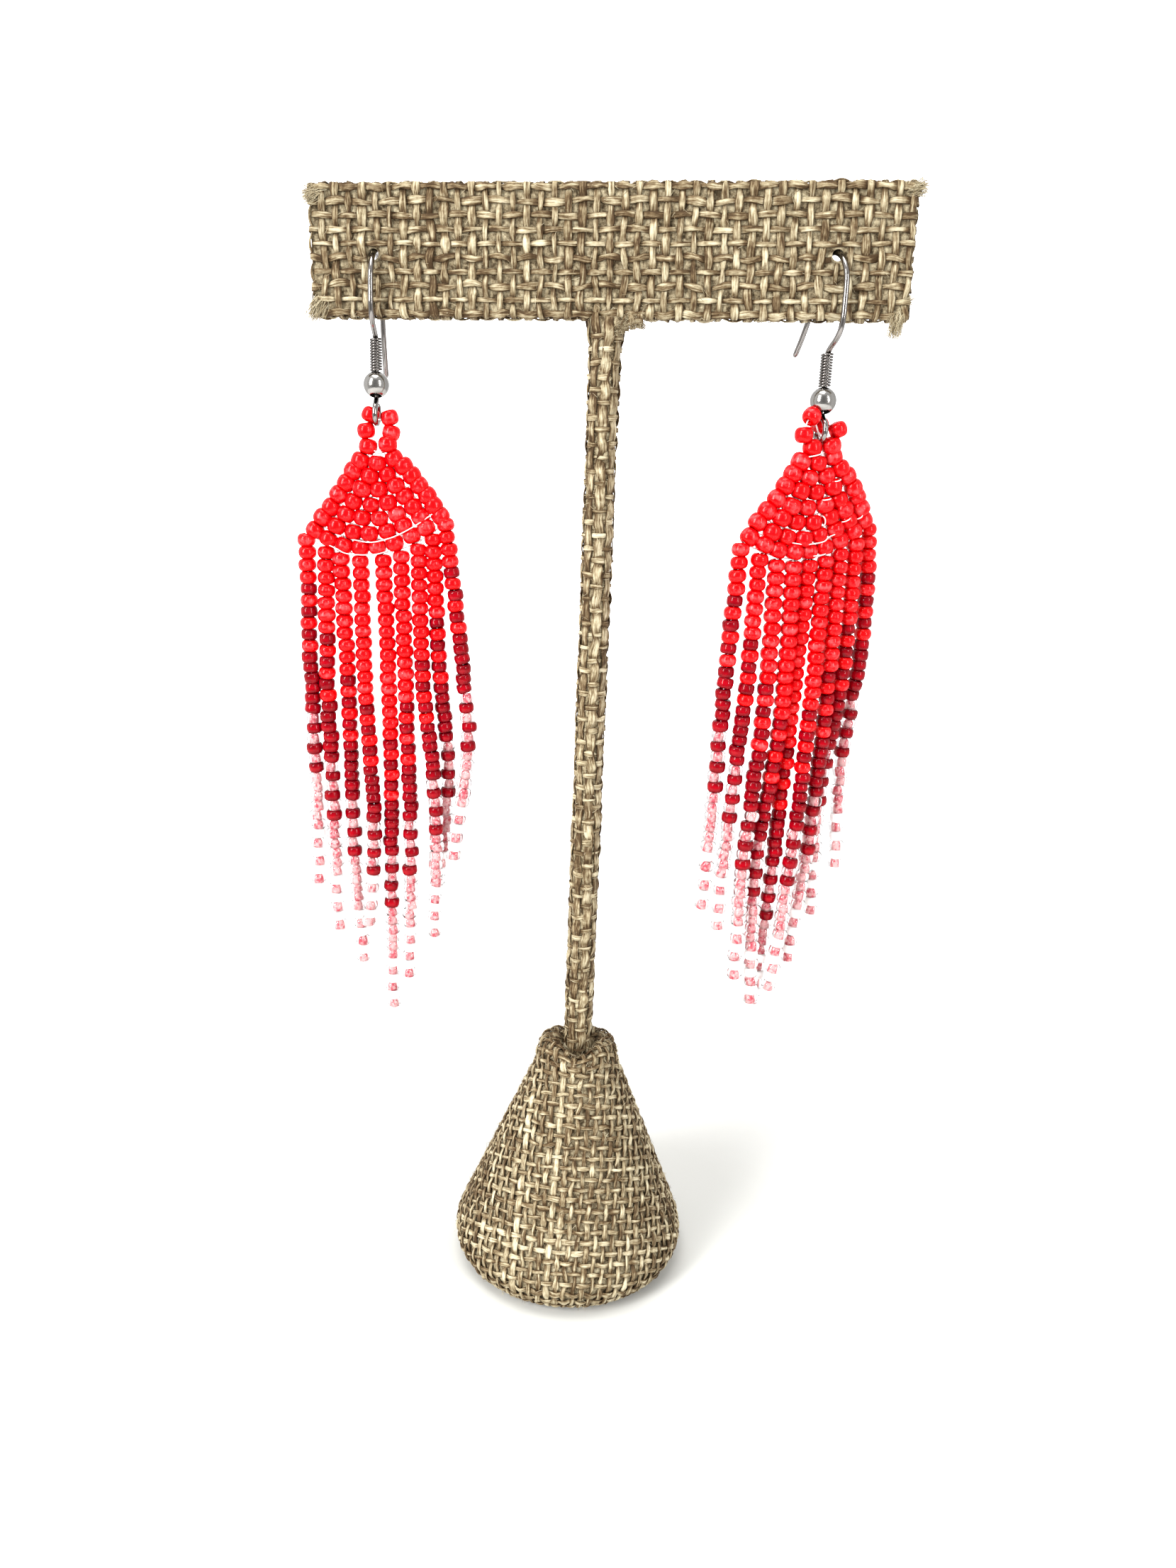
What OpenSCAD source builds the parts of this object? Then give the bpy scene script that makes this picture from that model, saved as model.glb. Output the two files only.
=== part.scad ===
/* [Stand] */
// Height of the crossbar's middle line above the floor, at the stem
bar_middle_z = 143.1; // [120:0.1:200]
// Width of the crossbar from end to end
bar_width = 74; // [66:0.5:90]
// How far the crossbar's middle lies to the right of the stem
bar_shift = -0.3; // [-3:0.1:3]
// Height of the crossbar
bar_height = 15.4; // [12:0.1:20]
// Thickness of the crossbar with its cloth
bar_depth = 3.2; // [3:0.1:3.4]
// Tilt of the crossbar in degrees, with its right end up
bar_tilt = 1.3; // [0:0.1:2]
// Diameter of the two holes that the ear wires hang in
hook_hole_d = 2.6; // [2.5:0.1:3.5]
// How far the holes lie below the crossbar's middle line
hook_hole_drop = 0.4; // [0:0.1:2]
// Diameter of the stem with its cloth
stem_d = 3.9; // [3.5:0.1:4]
// Largest radius of the cone base
base_r = 17.6; // [16:0.1:22]
// Height of the cone where its rolled lip begins
base_shoulder_z = 31.7; // [28:0.1:33]
// Radius of the rounded lower edge of the base
base_edge_r = 4.3; // [3:0.1:5]

/* [Ear wires] */
// Diameter of the ear wire
wire_d = 0.7; // [0.6:0.05:0.8]
// Radius of the hook's arc
hook_r = 4; // [3.8:0.1:4.2]
// Diameter of the ball
ball_d = 3.3; // [2.5:0.1:3.3]
// Diameter of the wire that is coiled above the ball
coil_wire_d = 0.28; // [0.2:0.02:0.28]
// Turns of the coil
coil_turns = 10.5; // [6:0.5:10.5]

/* [Beads] */
// Diameter of a bead string, and thickness of the bead fan
string_d = 2.1; // [1.8:0.1:2.1]
// Length of the first bead of a string, which hangs under the fan
bead_length = 1.44; // [1.3:0.01:1.5]
// Rows of beads in the fan, the first of two beads and the last of nine
fan_rows = 8; // [6:1:8]
// Distance from one row of the fan to the next
row_pitch = 1.84; // [1.7:0.01:1.9]
// Rise of the fan's rows to the right, for each millimetre across
fan_rise = 0.15; // [0:0.01:0.2]

/* [Hidden] */
$fn = 64;
gap = 0.1;
sides = 8;

// Left earring first, right earring second
hole_x = [-29.2, 27.6];
hang_x = [-29.1, 27.5];
turn = [5, 23];
fan_top_z = [119.15, 121.2];
fan_bend_r = [200, 33];
tail_reach = [10.6, 7.6];

// Stand
socket_floor_z = 20;
socket_h = 30;
lip_ring_r = 4.1;
lip_r = 1.9;
lip_rise = 2.6;
lip_foot_r = 5.3;
cone_angle = atan(0.42);
bar_bottom_z = bar_middle_z - bar_height / 2;

// Ear wire, in its own plane: distance behind the hanging line, and height
arc_behind = 0.8;
arc_over_hole = 0.5;
ball_z = 126.75;
ball_hole_d = 1.4;
eye_z = 123.25;
eye_r = 1.35;
coil_z = ball_z + ball_d / 2 + coil_wire_d / 2 + gap;
coil_pitch = coil_wire_d + 0.05;
coil_r = 0.66;
bend_route = [[-3.2, 137.6], [-3.2, 136.6], [-3.05, 135.6], [-2.65, 134.6], [-1.9, 133.8],
    [-0.9, 133.1], [-0.15, 132.45], [0, 131.6], [0, 126]];

// Fan: half the width of a row, and how far its ends rise above its middle
function row_half(k) = 1.25 + 1.02 * (k - 2);
function row_sag(k) = 0.05 + max(0, k - 2) * 0.44;
// Height of row k above or below the first row at distance x from the hanging line
function arc_r(k) = (pow(row_half(k), 2) + pow(row_sag(k), 2)) / (2 * row_sag(k));
function row_z(k, x) = arc_r(k) - sqrt(pow(arc_r(k), 2) - x * x) - row_pitch * (k - 2) + fan_rise * x;
// Upper corners of the fan: x and height, the dip between them, and its edge under the last row
fan_corner = [2.3, 0.7];
fan_dip = 0.2;
fan_hem = 0.8;
fan_blank = 60;
// How far the fan lies behind its middle at distance x from the hanging line
function bend(side, x) = fan_bend_r[side] - sqrt(pow(fan_bend_r[side], 2) - x * x);

// Bead loops over the fan: x, y and z of the string's middle, and its radius
loops = [
    [[-1.35, 0, 120.3, 0.95], [-1.65, 0, 121.3, 1.0], [-1.6, 0, 122.3, 1.0], [-1.15, 0, 123.0, 0.7],
     [-0.7, 0, 123.1, 0.2], [0, 0, 122.6, 0.2], [0.7, 0, 123.0, 0.2], [1.2, 0, 122.9, 0.7],
     [1.7, 0, 122.3, 1.0], [1.75, 0, 121.5, 1.0], [1.5, 0, 120.7, 0.95]],
    [[-2.1, 0, 122.0, 0.9], [-2.4, -0.2, 122.8, 1.0], [-2.5, -0.3, 123.7, 1.0],
     [-1.8, -0.3, 124.3, 0.9], [-1.1, -0.1, 123.9, 0.5], [-0.6, 0, 123.2, 0.2], [0, 0, 122.6, 0.2],
     [0.6, 0.1, 123.3, 0.2], [1.2, 0.2, 123.8, 0.6], [2.0, 0.2, 123.9, 0.95],
     [2.6, 0.1, 123.2, 1.0], [2.4, 0, 122.4, 0.9]]];

// Bead strings from left to right. Columns: length, then x at the top, at a third, at two thirds
// and at the tip, then how far it lies behind the fan's edge at the same four places
strings = [
    [[49.8, -9.8, -9.8, -9.4, -9.5, 0, 0.2, 0, 0.2],
     [55.2, -7.2, -7.4, -7.0, -6.7, 0, -0.2, 0, 0],
     [60.0, -5.0, -4.5, -4.4, -3.2, 0, 0.2, 0.6, 0.9],
     [53.0, -2.6, -2.2, -1.2, -1.9, 0, -0.2, -0.6, -1.3],
     [66.8, 0.4, 1.1, 1.1, 1.2, 0, 0.1, 0.3, 0.4],
     [62.1, 2.8, 3.4, 3.9, 3.7, 0, 0.1, 0, -0.3],
     [56.5, 5.1, 5.8, 7.6, 7.4, 0, -0.3, -0.5, -0.6],
     [53.3, 7.3, 8.0, 9.1, 7.2, 0, 0.5, 1.2, 1.9],
     [48.0, 9.5, 11.0, 11.9, 9.9, 0, 0.3, 0.2, -0.8]],
    [[50.0, -9.1, -9.9, -10.3, -11.1, 0, 0, 0.2, 0],
     [52.0, -6.7, -7.2, -8.1, -8.8, 0, -0.2, 0, 0.2],
     [58.6, -4.4, -4.5, -5.8, -6.0, 0, -0.1, -0.4, -0.4],
     [62.6, -2.2, -2.0, -3.7, -3.2, -0.1, 0, 0.5, -0.4],
     [63.9, 0.1, 0, -0.8, -1.7, 0.1, 1.1, 1.1, 1.7],
     [61.4, 2.4, 2.2, 1.3, -0.5, 0, -0.2, -0.4, -0.7],
     [58.7, 4.7, 4.7, 4.3, 2.4, 0, 0.1, 0.2, 0],
     [53.5, 6.9, 7.2, 6.1, 6.2, 0, 0.3, 1.4, 0.8],
     [48.5, 9.1, 10.1, 9.3, 9.6, 0.1, 0.5, 1.3, 0.4]]];
string_row = 10;
string_rings = 12;

// Point at place u from 0 to 1 on a smooth curve through the points of a route
function pick(route, i) = route[max(0, min(len(route) - 1, i))];
function smooth(route, u) =
    let (s = u * (len(route) - 1), i = min(floor(s), len(route) - 2), t = s - i,
        a = pick(route, i - 1), b = pick(route, i), c = pick(route, i + 1), d = pick(route, i + 2))
    b + t * (c - a) / 2 + t * t * (a - 2.5 * b + 2 * c - d / 2) + t * t * t * (1.5 * (b - c) + (d - a) / 2);

// Round tube of given radii along points, whose rings turn about the across direction
function unit(v) = v / norm(v);
function heading(p, i) = unit(p[min(len(p) - 1, i + 1)] - p[max(0, i - 1)]);
module tube(p, radii, across, around = sides) {
    rings = [for (i = [0 : len(p) - 1])
        let (ahead = heading(p, i), side = unit(cross(ahead, across)), up = cross(side, ahead))
        for (j = [0 : around - 1])
            p[i] + radii[i] * (cos(360 * j / around) * side + sin(360 * j / around) * up)];
    last = (len(p) - 1) * around;
    polyhedron(points = rings, faces = concat(
        [[for (j = [0 : around - 1]) j]],
        [[for (j = [around - 1 : -1 : 0]) last + j]],
        [for (i = [0 : len(p) - 2], j = [0 : around - 1])
            let (a = i * around + j, b = i * around + (j + 1) % around)
            [a, a + around, b + around, b]]), convexity = 10);
}

// Places what hangs from one hole of the crossbar
module hung(side) translate([hang_x[side], 0, 0]) rotate([0, 0, turn[side]]) children();

module stand_base() color("tan") {
    lean = [cos(cone_angle), sin(cone_angle)];
    edge = [base_r - base_edge_r, base_edge_r];
    tangent = edge + base_edge_r * lean;
    shoulder_r = tangent[0] - (base_shoulder_z - tangent[1]) * tan(cone_angle);
    lip_z = base_shoulder_z + lip_rise;
    difference() {
        union() {
            rotate_extrude() union() {
                polygon([[0, 0], [edge[0], 0], tangent, [shoulder_r, base_shoulder_z],
                    [lip_foot_r, lip_z], [0, lip_z]]);
                intersection() {
                    translate(edge) circle(r = base_edge_r);
                    square([base_r * 2, base_edge_r * 2]);
                }
            }
            rotate_extrude() translate([lip_ring_r, lip_z]) circle(r = lip_r);
        }
        translate([0, 0, socket_floor_z]) cylinder(d = stem_d + 2 * gap, h = socket_h);
    }
}

module stand_stem() color("tan")
    translate([0, 0, socket_floor_z + gap])
        cylinder(d = stem_d, h = bar_bottom_z - socket_floor_z - 2.5 * gap);

module stand_crossbar() color("tan")
    translate([0, 0, bar_middle_z]) rotate([0, -bar_tilt, 0]) difference() {
        translate([bar_shift, 0, 0]) cube([bar_width, bar_depth, bar_height], center = true);
        for (x = hole_x) translate([x, 0, -hook_hole_drop]) rotate([90, 0, 0])
            cylinder(d = hook_hole_d, h = bar_depth * 2, center = true);
    }

module ear_wire(side) color("silver") hung(side) {
    hole_z = bar_middle_z - hook_hole_drop + hole_x[side] * sin(bar_tilt);
    arc_z = hole_z + arc_over_hole - hook_r;
    tail = [[7.4, arc_z - tail_reach[side]], [6.4, arc_z - tail_reach[side] * 0.75],
        [5.4, arc_z - tail_reach[side] * 0.45], [4.9, arc_z - tail_reach[side] * 0.2]];
    arc = [for (a = [0 : 15 : 180]) [arc_behind + hook_r * cos(a), arc_z + hook_r * sin(a)]];
    bend = [for (i = [0 : 24]) smooth(bend_route, i / 24)];
    eye = [for (a = [110 : 18 : 416]) [eye_r * cos(a), eye_z + eye_r * sin(a)]];
    flat_route = concat([for (i = [0 : 6]) smooth(tail, i / 6)], arc, bend, [[-0.05, 124.95]], eye);
    route = [for (q = flat_route) [0, q[0], q[1]]];
    tube(route, [for (q = route) wire_d / 2], [1, 0, 0]);
}

module coil(side) color("silver") hung(side) {
    steps = coil_turns * 10;
    route = [for (i = [0 : steps])
        [coil_r * cos(36 * i), coil_r * sin(36 * i), coil_z + coil_pitch * i / 10]];
    tube(route, [for (q = route) coil_wire_d / 2], [0, 0, 1], 6);
}

module ball(side) color("silver") hung(side) translate([0, 0, ball_z]) difference() {
    sphere(d = ball_d);
    cylinder(d = ball_hole_d, h = ball_d * 2, center = true);
}

module bead_loop(side) color("tomato") hung(side) {
    steps = 2 * (len(loops[side]) - 1);
    knots = [for (i = [0 : steps]) smooth(loops[side], i / steps)];
    tube([for (q = knots) [q[0], q[1], q[2]]], [for (q = knots) q[3]], [0, 1, 0]);
}

module bead_fan(side) color("tomato") hung(side) translate([0, 0, fan_top_z[side]]) {
    last = fan_rows + 1;
    half = row_half(last);
    side_x = half + string_d / 2;
    outer_r = fan_bend_r[side] + string_d / 2;
    corner_x = fan_corner[0];
    corner_z = fan_corner[1];
    bottom = [for (t = [-1 : 0.125 : 1]) [half * t, row_z(last, half * t) - fan_hem]];
    intersection() {
        rotate([90, 0, 0]) linear_extrude(height = string_d * 4, center = true) polygon(concat(
            [[side_x, row_z(last, half) + fan_rise], [corner_x, corner_z + corner_x * fan_rise],
             [0, fan_dip], [-corner_x, corner_z - corner_x * fan_rise],
             [-side_x, row_z(last, -half) - fan_rise]], bottom));
        translate([0, fan_bend_r[side], 0]) difference() {
            cylinder(r = outer_r, h = fan_blank, center = true);
            cylinder(r = outer_r - string_d, h = fan_blank * 2, center = true);
        }
    }
}

module bead_string(side, number) color("crimson") hung(side) {
    row = strings[side][number - 1];
    under = min(row_z(string_row, row[1] - string_d / 2), row_z(string_row, row[1] + string_d / 2));
    top = fan_top_z[side] + under + bead_length / 2;
    edge_y = bend(side, row[1]);
    route = [for (i = [0 : 3]) [row[1 + i], edge_y + row[5 + i], top - row[0] * i / 3]];
    tube([for (i = [0 : string_rings - 1]) smooth(route, i / (string_rings - 1))],
        [for (i = [0 : string_rings - 1]) string_d / 2], [0, 1, 0]);
}

stand_base();
stand_stem();
stand_crossbar();
for (side = [0, 1]) {
    name = ["left_", "right_"][side];
    ear_wire(side);
    coil(side);
    ball(side);
    bead_loop(side);
    bead_fan(side);
    for (number = [1 : 9])
        bead_string(side, number);
}
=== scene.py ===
import math

import bpy
import numpy as np
from mathutils import Matrix, Vector

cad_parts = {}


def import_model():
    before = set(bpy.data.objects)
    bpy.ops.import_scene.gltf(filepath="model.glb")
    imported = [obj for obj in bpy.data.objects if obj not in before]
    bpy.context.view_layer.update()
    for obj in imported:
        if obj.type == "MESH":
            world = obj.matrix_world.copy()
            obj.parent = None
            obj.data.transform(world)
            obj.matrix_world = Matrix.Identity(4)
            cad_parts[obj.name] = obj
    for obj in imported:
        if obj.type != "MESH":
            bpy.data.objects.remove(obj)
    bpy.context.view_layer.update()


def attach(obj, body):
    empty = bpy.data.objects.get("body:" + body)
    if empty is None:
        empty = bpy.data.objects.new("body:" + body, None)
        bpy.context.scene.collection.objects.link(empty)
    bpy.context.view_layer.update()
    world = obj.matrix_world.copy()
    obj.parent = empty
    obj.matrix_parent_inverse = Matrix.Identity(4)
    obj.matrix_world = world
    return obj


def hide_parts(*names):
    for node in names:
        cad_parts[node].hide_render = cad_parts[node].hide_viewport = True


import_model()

MM = 0.001

# Sizes and places in mm, the same as in the part's own source.
# Crossbar: z of its middle, width, height, depth, tilt in degrees and x of its middle
BAR_Z, BAR_W, BAR_H, BAR_D, BAR_TILT, BAR_SHIFT = 143.1, 74.0, 15.4, 3.2, 1.3, -0.3
# Its two holes, this far below its middle
HOLE_X, HOLE_DROP = (-29.2, 27.6), 0.4
STEM_D, STEM_LOW, STEM_TOP = 3.9, 20.1, 135.25
# Base: radius, radius of its rounded edge, slope of the cone and height of its shoulder
BASE_R, BASE_EDGE, CONE_TAN, SHOULDER_Z = 17.6, 4.3, 0.42, 31.7
# Left and right earring: hanging line, turn in degrees, top and bend radius of the fan, and how far the
# hook's tail reaches down from the arc's middle
HANG_X = (-29.1, 27.5)
TURN = (5.0, 23.0)
FAN_Z = (119.15, 121.2)
FAN_BEND = (200.0, 33.0)
TAIL_REACH = (10.6, 7.6)
# Ear wire: thickness, radius of the hook's arc, and how far the arc lies behind and above the hole
WIRE_D, HOOK_R, ARC_BEHIND, ARC_OVER = 0.7, 4.0, 0.8, 0.5
BALL_Z, BALL_D, BALL_HOLE_D, EYE_Z, EYE_R = 126.75, 3.3, 1.4, 123.25, 1.35
COIL_WIRE, COIL_R, COIL_TURNS, COIL_PITCH = 0.28, 0.66, 10.5, 0.33
COIL_Z = BALL_Z + BALL_D / 2 + COIL_WIRE / 2 + 0.1
# The ear wire from the hook's arc to its straight shank, as y and z
WIRE_BEND = ((-3.2, 137.6), (-3.2, 136.6), (-3.05, 135.6), (-2.65, 134.6), (-1.9, 133.8),
             (-0.9, 133.1), (-0.15, 132.45), (0, 131.6), (0, 126))
# Fan: length of a bead, distance between rows, and rise of a row to the right
BEAD_LENGTH, ROW_PITCH, RISE = 1.44, 1.84, 0.15
# Half the width of the row of two beads and its sag, and what each further bead adds
ROW_HALF, ROW_WIDER, ROW_SAG, SAG_DEEPER = 1.25, 1.02, 0.05, 0.44
# A row goes by its number of beads. The strings start where a row of ten would lie.
FAN_ROWS = range(2, 10)
HEM_ROW = 10
# Room of a bead along the thread by kind. Each string is then scaled to its length.
SPACING = {"coral": 1.62, "dark": 1.4, "clear": 1.37, "pink": 1.37, "white": 1.33}
# Strings from left to right: coral beads, plain pink beads, length, then x at the top, a third, two
# thirds and the tip, then how far back these four lie
STRINGS = (
    ((4, 6, 49.8, -9.8, -9.8, -9.4, -9.5, 0, 0.2, 0, 0.2),
     (7, 6, 55.2, -7.2, -7.4, -7.0, -6.7, 0, -0.2, 0, 0),
     (10, 6, 60.0, -5.0, -4.5, -4.4, -3.2, 0, 0.2, 0.6, 0.9),
     (13, 0, 53.0, -2.6, -2.2, -1.2, -1.9, 0, -0.2, -0.6, -1.3),
     (16, 6, 66.8, 0.4, 1.1, 1.1, 1.2, 0, 0.1, 0.3, 0.4),
     (13, 6, 62.1, 2.8, 3.4, 3.9, 3.7, 0, 0.1, 0, -0.3),
     (10, 6, 56.5, 5.1, 5.8, 7.6, 7.4, 0, -0.3, -0.5, -0.6),
     (7, 6, 53.3, 7.3, 8.0, 9.1, 7.2, 0, 0.5, 1.2, 1.9),
     (4, 6, 48.0, 9.5, 11.0, 11.9, 9.9, 0, 0.3, 0.2, -0.8)),
    ((4, 6, 50.0, -9.1, -9.9, -10.3, -11.1, 0, 0, 0.2, 0),
     (7, 6, 52.0, -6.7, -7.2, -8.1, -8.8, 0, -0.2, 0, 0.2),
     (10, 6, 58.6, -4.4, -4.5, -5.8, -6.0, 0, -0.1, -0.4, -0.4),
     (13, 6, 62.6, -2.2, -2.0, -3.7, -3.2, -0.1, 0, 0.5, -0.4),
     (16, 4, 63.9, 0.1, 0, -0.8, -1.7, 0.1, 1.1, 1.1, 1.7),
     (13, 6, 61.4, 2.4, 2.2, 1.3, -0.5, 0, -0.2, -0.4, -0.7),
     (10, 6, 58.7, 4.7, 4.7, 4.3, 2.4, 0, 0.1, 0.2, 0),
     (7, 6, 53.5, 6.9, 7.2, 6.1, 6.2, 0, 0.3, 1.4, 0.8),
     (4, 6, 48.5, 9.1, 10.1, 9.3, 9.6, 0.1, 0.5, 1.3, 0.4)))

# What only the scene holds, in mm.
# How far a string's first beads lie aside of it, by earring and string, and where that ends
ASIDE = {(0, 8): -0.9, (0, 7): -0.25, (0, 2): -0.25}
ASIDE_REACH = 26
# Beads of the loops in the ear wires' eyes: middle, and the way the hole points
LOOP_BEADS = (
    (((-1.6, 0, 121.05), (-0.1, 0, 1)), ((-1.08, 0.5, 123), (0.45, 0.1, 1)),
     ((1.46, 0, 122.75), (0.3, 0, -1)), ((1.66, 0, 120.9), (-0.25, 0, -1))),
    (((-2.3, -0.1, 122.6), (-0.1, 0, 1)), ((-1.54, -0.3, 124.85), (0.8, 0.4, 0.9)),
     ((0.6, 1.45, 123.85), (1, 0.1, -0.1)), ((2.52, 0.1, 123.4), (0.45, -0.1, -1))))
# Rows of a fan off their regular place, as x and z, and rows that are drawn together
ROW_OFF = ({2: (-0.07, 0), 3: (-0.22, -0.33), 4: (-0.1, -0.15), 8: (-0.2, 0), 9: (-0.34, -0.05)},
           {2: (0.34, 0.05), 3: (0, -0.14), 4: (0.1, -0.1), 5: (0.2, 0), 6: (0.3, -0.1), 7: (0.15, 0)})
ROW_TIGHT = ({}, {8: 0.98, 9: 0.96})
# Loose thread in front of the beads, as x and z in the fan
THREADS = (
    (((7.6, 111.23), (5.4, 109.6), (3.11, 108.23), (1.23, 107.42), (-1.22, 106.86), (-4.04, 107.21)),
     ((-8.39, 106.94), (-5.76, 105.94), (-4.07, 105.27), (-0.58, 105.3), (1.88, 106.06)),
     ((-0.6, 118.1), (-0.1, 118.3), (0.6, 118.35)), ((-0.5, 118.55), (0.1, 118.5), (0.5, 118.75))),
    (((-1.89, 119.95), (-0.76, 120.24), (0.49, 120.62)), ((2.02, 117.04), (3.25, 117.42)),
     ((0.73, 114.74), (2.04, 115.03)), ((4.0, 112.05), (5.27, 112.68)), ((6.22, 112.42), (7.2, 113.05)),
     ((-3.47, 109.46), (-1.22, 109.23), (1.18, 109.62), (2.16, 110.25), (4.79, 111.07)),
     ((0.04, 107.73), (2.08, 108.1)), ((1.14, 112.82), (1.28, 111.49))))
# The left ear wire hangs a little aside in its hole, and the right one's tail is bent aside
HOOK_ASIDE = ((-0.2, 0, 0), (0, 0, 0))
TAIL_ASIDE = (0.0, -0.7)
# Turn of the balls' holes about X, in degrees
BALL_LEAN = -20
# A hole as the cloth leaves it open, and where the yarns round it are cut
HOLE_OPEN_R, HOLE_CUT_R = 0.68, 0.8
SIDES = ("left", "right")


def columns(*values):
    return np.column_stack(values)


# Curves
def smooth(route, count):
    """This many points along a smooth curve through a route."""
    route = np.asarray(route, float)
    s = np.linspace(0, 1, count) * (len(route) - 1)
    i = np.minimum(np.floor(s).astype(int), len(route) - 2)
    t = (s - i)[:, None]
    a, b, c, d = (route[np.clip(i + k, 0, len(route) - 1)] for k in (-1, 0, 1, 2))
    square, cube = a - 2.5 * b + 2 * c - d / 2, 1.5 * (b - c) + (d - a) / 2
    return b + t * (c - a) / 2 + t**2 * square + t**3 * cube


def unit(v):
    return v / np.maximum(np.linalg.norm(v, axis=-1, keepdims=True), 1e-12)


def lengths(p):
    """How far along a line each of its points lies."""
    return np.concatenate([[0], np.cumsum(np.linalg.norm(np.diff(p, axis=0), axis=1))])


def resample(p, step):
    """The same line with points about one step apart."""
    s = lengths(p)
    t = np.linspace(0, s[-1], max(2, round(s[-1] / step) + 1))
    return columns(*(np.interp(t, s, p[:, k]) for k in range(p.shape[1])))


def wander(rng, s, size, waves=(3.1, 5.3, 11.0)):
    """A slow random drift along a thread."""
    parts = [rng.normal() * np.sin(math.tau * s / (w * rng.uniform(0.8, 1.25)) + rng.uniform(0, 6.3))
             for w in waves]
    return size * sum(parts) / math.sqrt(len(waves))


def spans(keep, shortest):
    """Start and end of each run of at least this many true places."""
    edges = np.flatnonzero(np.diff(np.concatenate([[0], keep.astype(int), [0]])))
    return [(start, end) for start, end in zip(edges[::2], edges[1::2]) if end - start >= shortest]


def turned(side, v):
    """Turns a place or direction with its earring about the hanging line."""
    a = math.radians(TURN[side])
    matrix = np.array([[math.cos(a), math.sin(a), 0], [-math.sin(a), math.cos(a), 0], [0, 0, 1]])
    return v @ matrix


def hung(side, p):
    """From an earring's own place to the stand's."""
    return turned(side, p) + (HANG_X[side], 0, 0)


def steps_round(count, whole=math.tau):
    """Equal steps round a closed line."""
    return np.arange(count) * whole / count


def put(name, data):
    """Puts a new object into the scene."""
    thing = bpy.data.objects.new(name, data)
    bpy.context.scene.collection.objects.link(thing)
    return thing


# Meshes
class Shape:
    """Gathers the parts of one mesh, in mm. Each corner has a tone, which also carries painted shade, and
    a place along the thread.
    """

    def __init__(self):
        self.points, self.faces, self.slots, self.tones, self.places = [], [], [], [], []
        self.count = 0

    def add(self, points, faces, slot=0, tone=0.5, place=None):
        """Adds corners, and faces as one array of corner numbers for each face size."""
        self.points.append(points)
        self.tones.append(np.broadcast_to(tone, (len(points),)))
        self.places.append(points if place is None else place)
        for group in faces:
            self.faces.append(group + self.count)
            self.slots.append(np.full(len(group), slot))
        self.count += len(points)

    def build(self, name, materials, flat=False):
        mesh = bpy.data.meshes.new(name)
        points = np.concatenate(self.points) * MM
        loops = np.concatenate([f.ravel() for f in self.faces])
        totals = np.concatenate([np.full(len(f), f.shape[1]) for f in self.faces])
        mesh.vertices.add(len(points))
        mesh.vertices.foreach_set("co", points.ravel())
        mesh.loops.add(len(loops))
        mesh.loops.foreach_set("vertex_index", loops)
        mesh.polygons.add(len(totals))
        mesh.polygons.foreach_set("loop_start", np.concatenate([[0], np.cumsum(totals)[:-1]]))
        mesh.polygons.foreach_set("material_index", np.concatenate(self.slots))
        mesh.polygons.foreach_set("use_smooth", np.full(len(totals), not flat))
        mesh.update(calc_edges=True)
        tones = mesh.attributes.new("tone", "FLOAT", "POINT")
        tones.data.foreach_set("value", np.concatenate(self.tones))
        places = mesh.attributes.new("place", "FLOAT_VECTOR", "POINT")
        places.data.foreach_set("vector", np.concatenate(self.places).ravel())
        for m in materials:
            mesh.materials.append(m)
        return put(name, mesh)


def rings(n, m, closed=False):
    """Faces of a tube of n rings of m corners, with its ends if it isn't closed on itself."""
    i, j = np.meshgrid(np.arange(n if closed else n - 1), np.arange(m), indexing="ij")
    a, b = i * m + j, i * m + (j + 1) % m
    up = ((i + 1) % n) * m
    quads = np.stack([a, b, up + (j + 1) % m, up + j], axis=-1).reshape(-1, 4)
    if closed:
        return [quads]
    return [quads, np.arange(m)[::-1][None], ((n - 1) * m + np.arange(m))[None]]


def tube(shape, p, radius, sides, across, **kind):
    """A round tube along points that nowhere run along the direction across."""
    ahead = unit(np.gradient(p, axis=0))
    side = unit(np.cross(ahead, across))
    up = np.cross(ahead, side)
    a = steps_round(sides)
    x, y = np.cos(a)[None], np.sin(a)[None]
    r = np.broadcast_to(radius, (len(p),))[:, None]
    ring = p[:, None] + r[..., None] * (x[..., None] * side[:, None] + y[..., None] * up[:, None])
    along = np.broadcast_to(lengths(p)[:, None], ring.shape[:2])
    kind.setdefault("place", np.stack([along, r * x, r * y], axis=-1).reshape(-1, 3))
    shape.add(ring.reshape(-1, 3), rings(len(p), sides), **kind)


def revolve(profile, sides, closed=True):
    """Corners and faces of a profile of radius and height turned about Z."""
    a = steps_round(sides)
    r, z = profile[:, 0][:, None], profile[:, 1][:, None]
    p = np.stack([r * np.cos(a), r * np.sin(a), z + 0 * a], axis=-1).reshape(-1, 3)
    return p, rings(len(profile), sides, closed)


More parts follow.
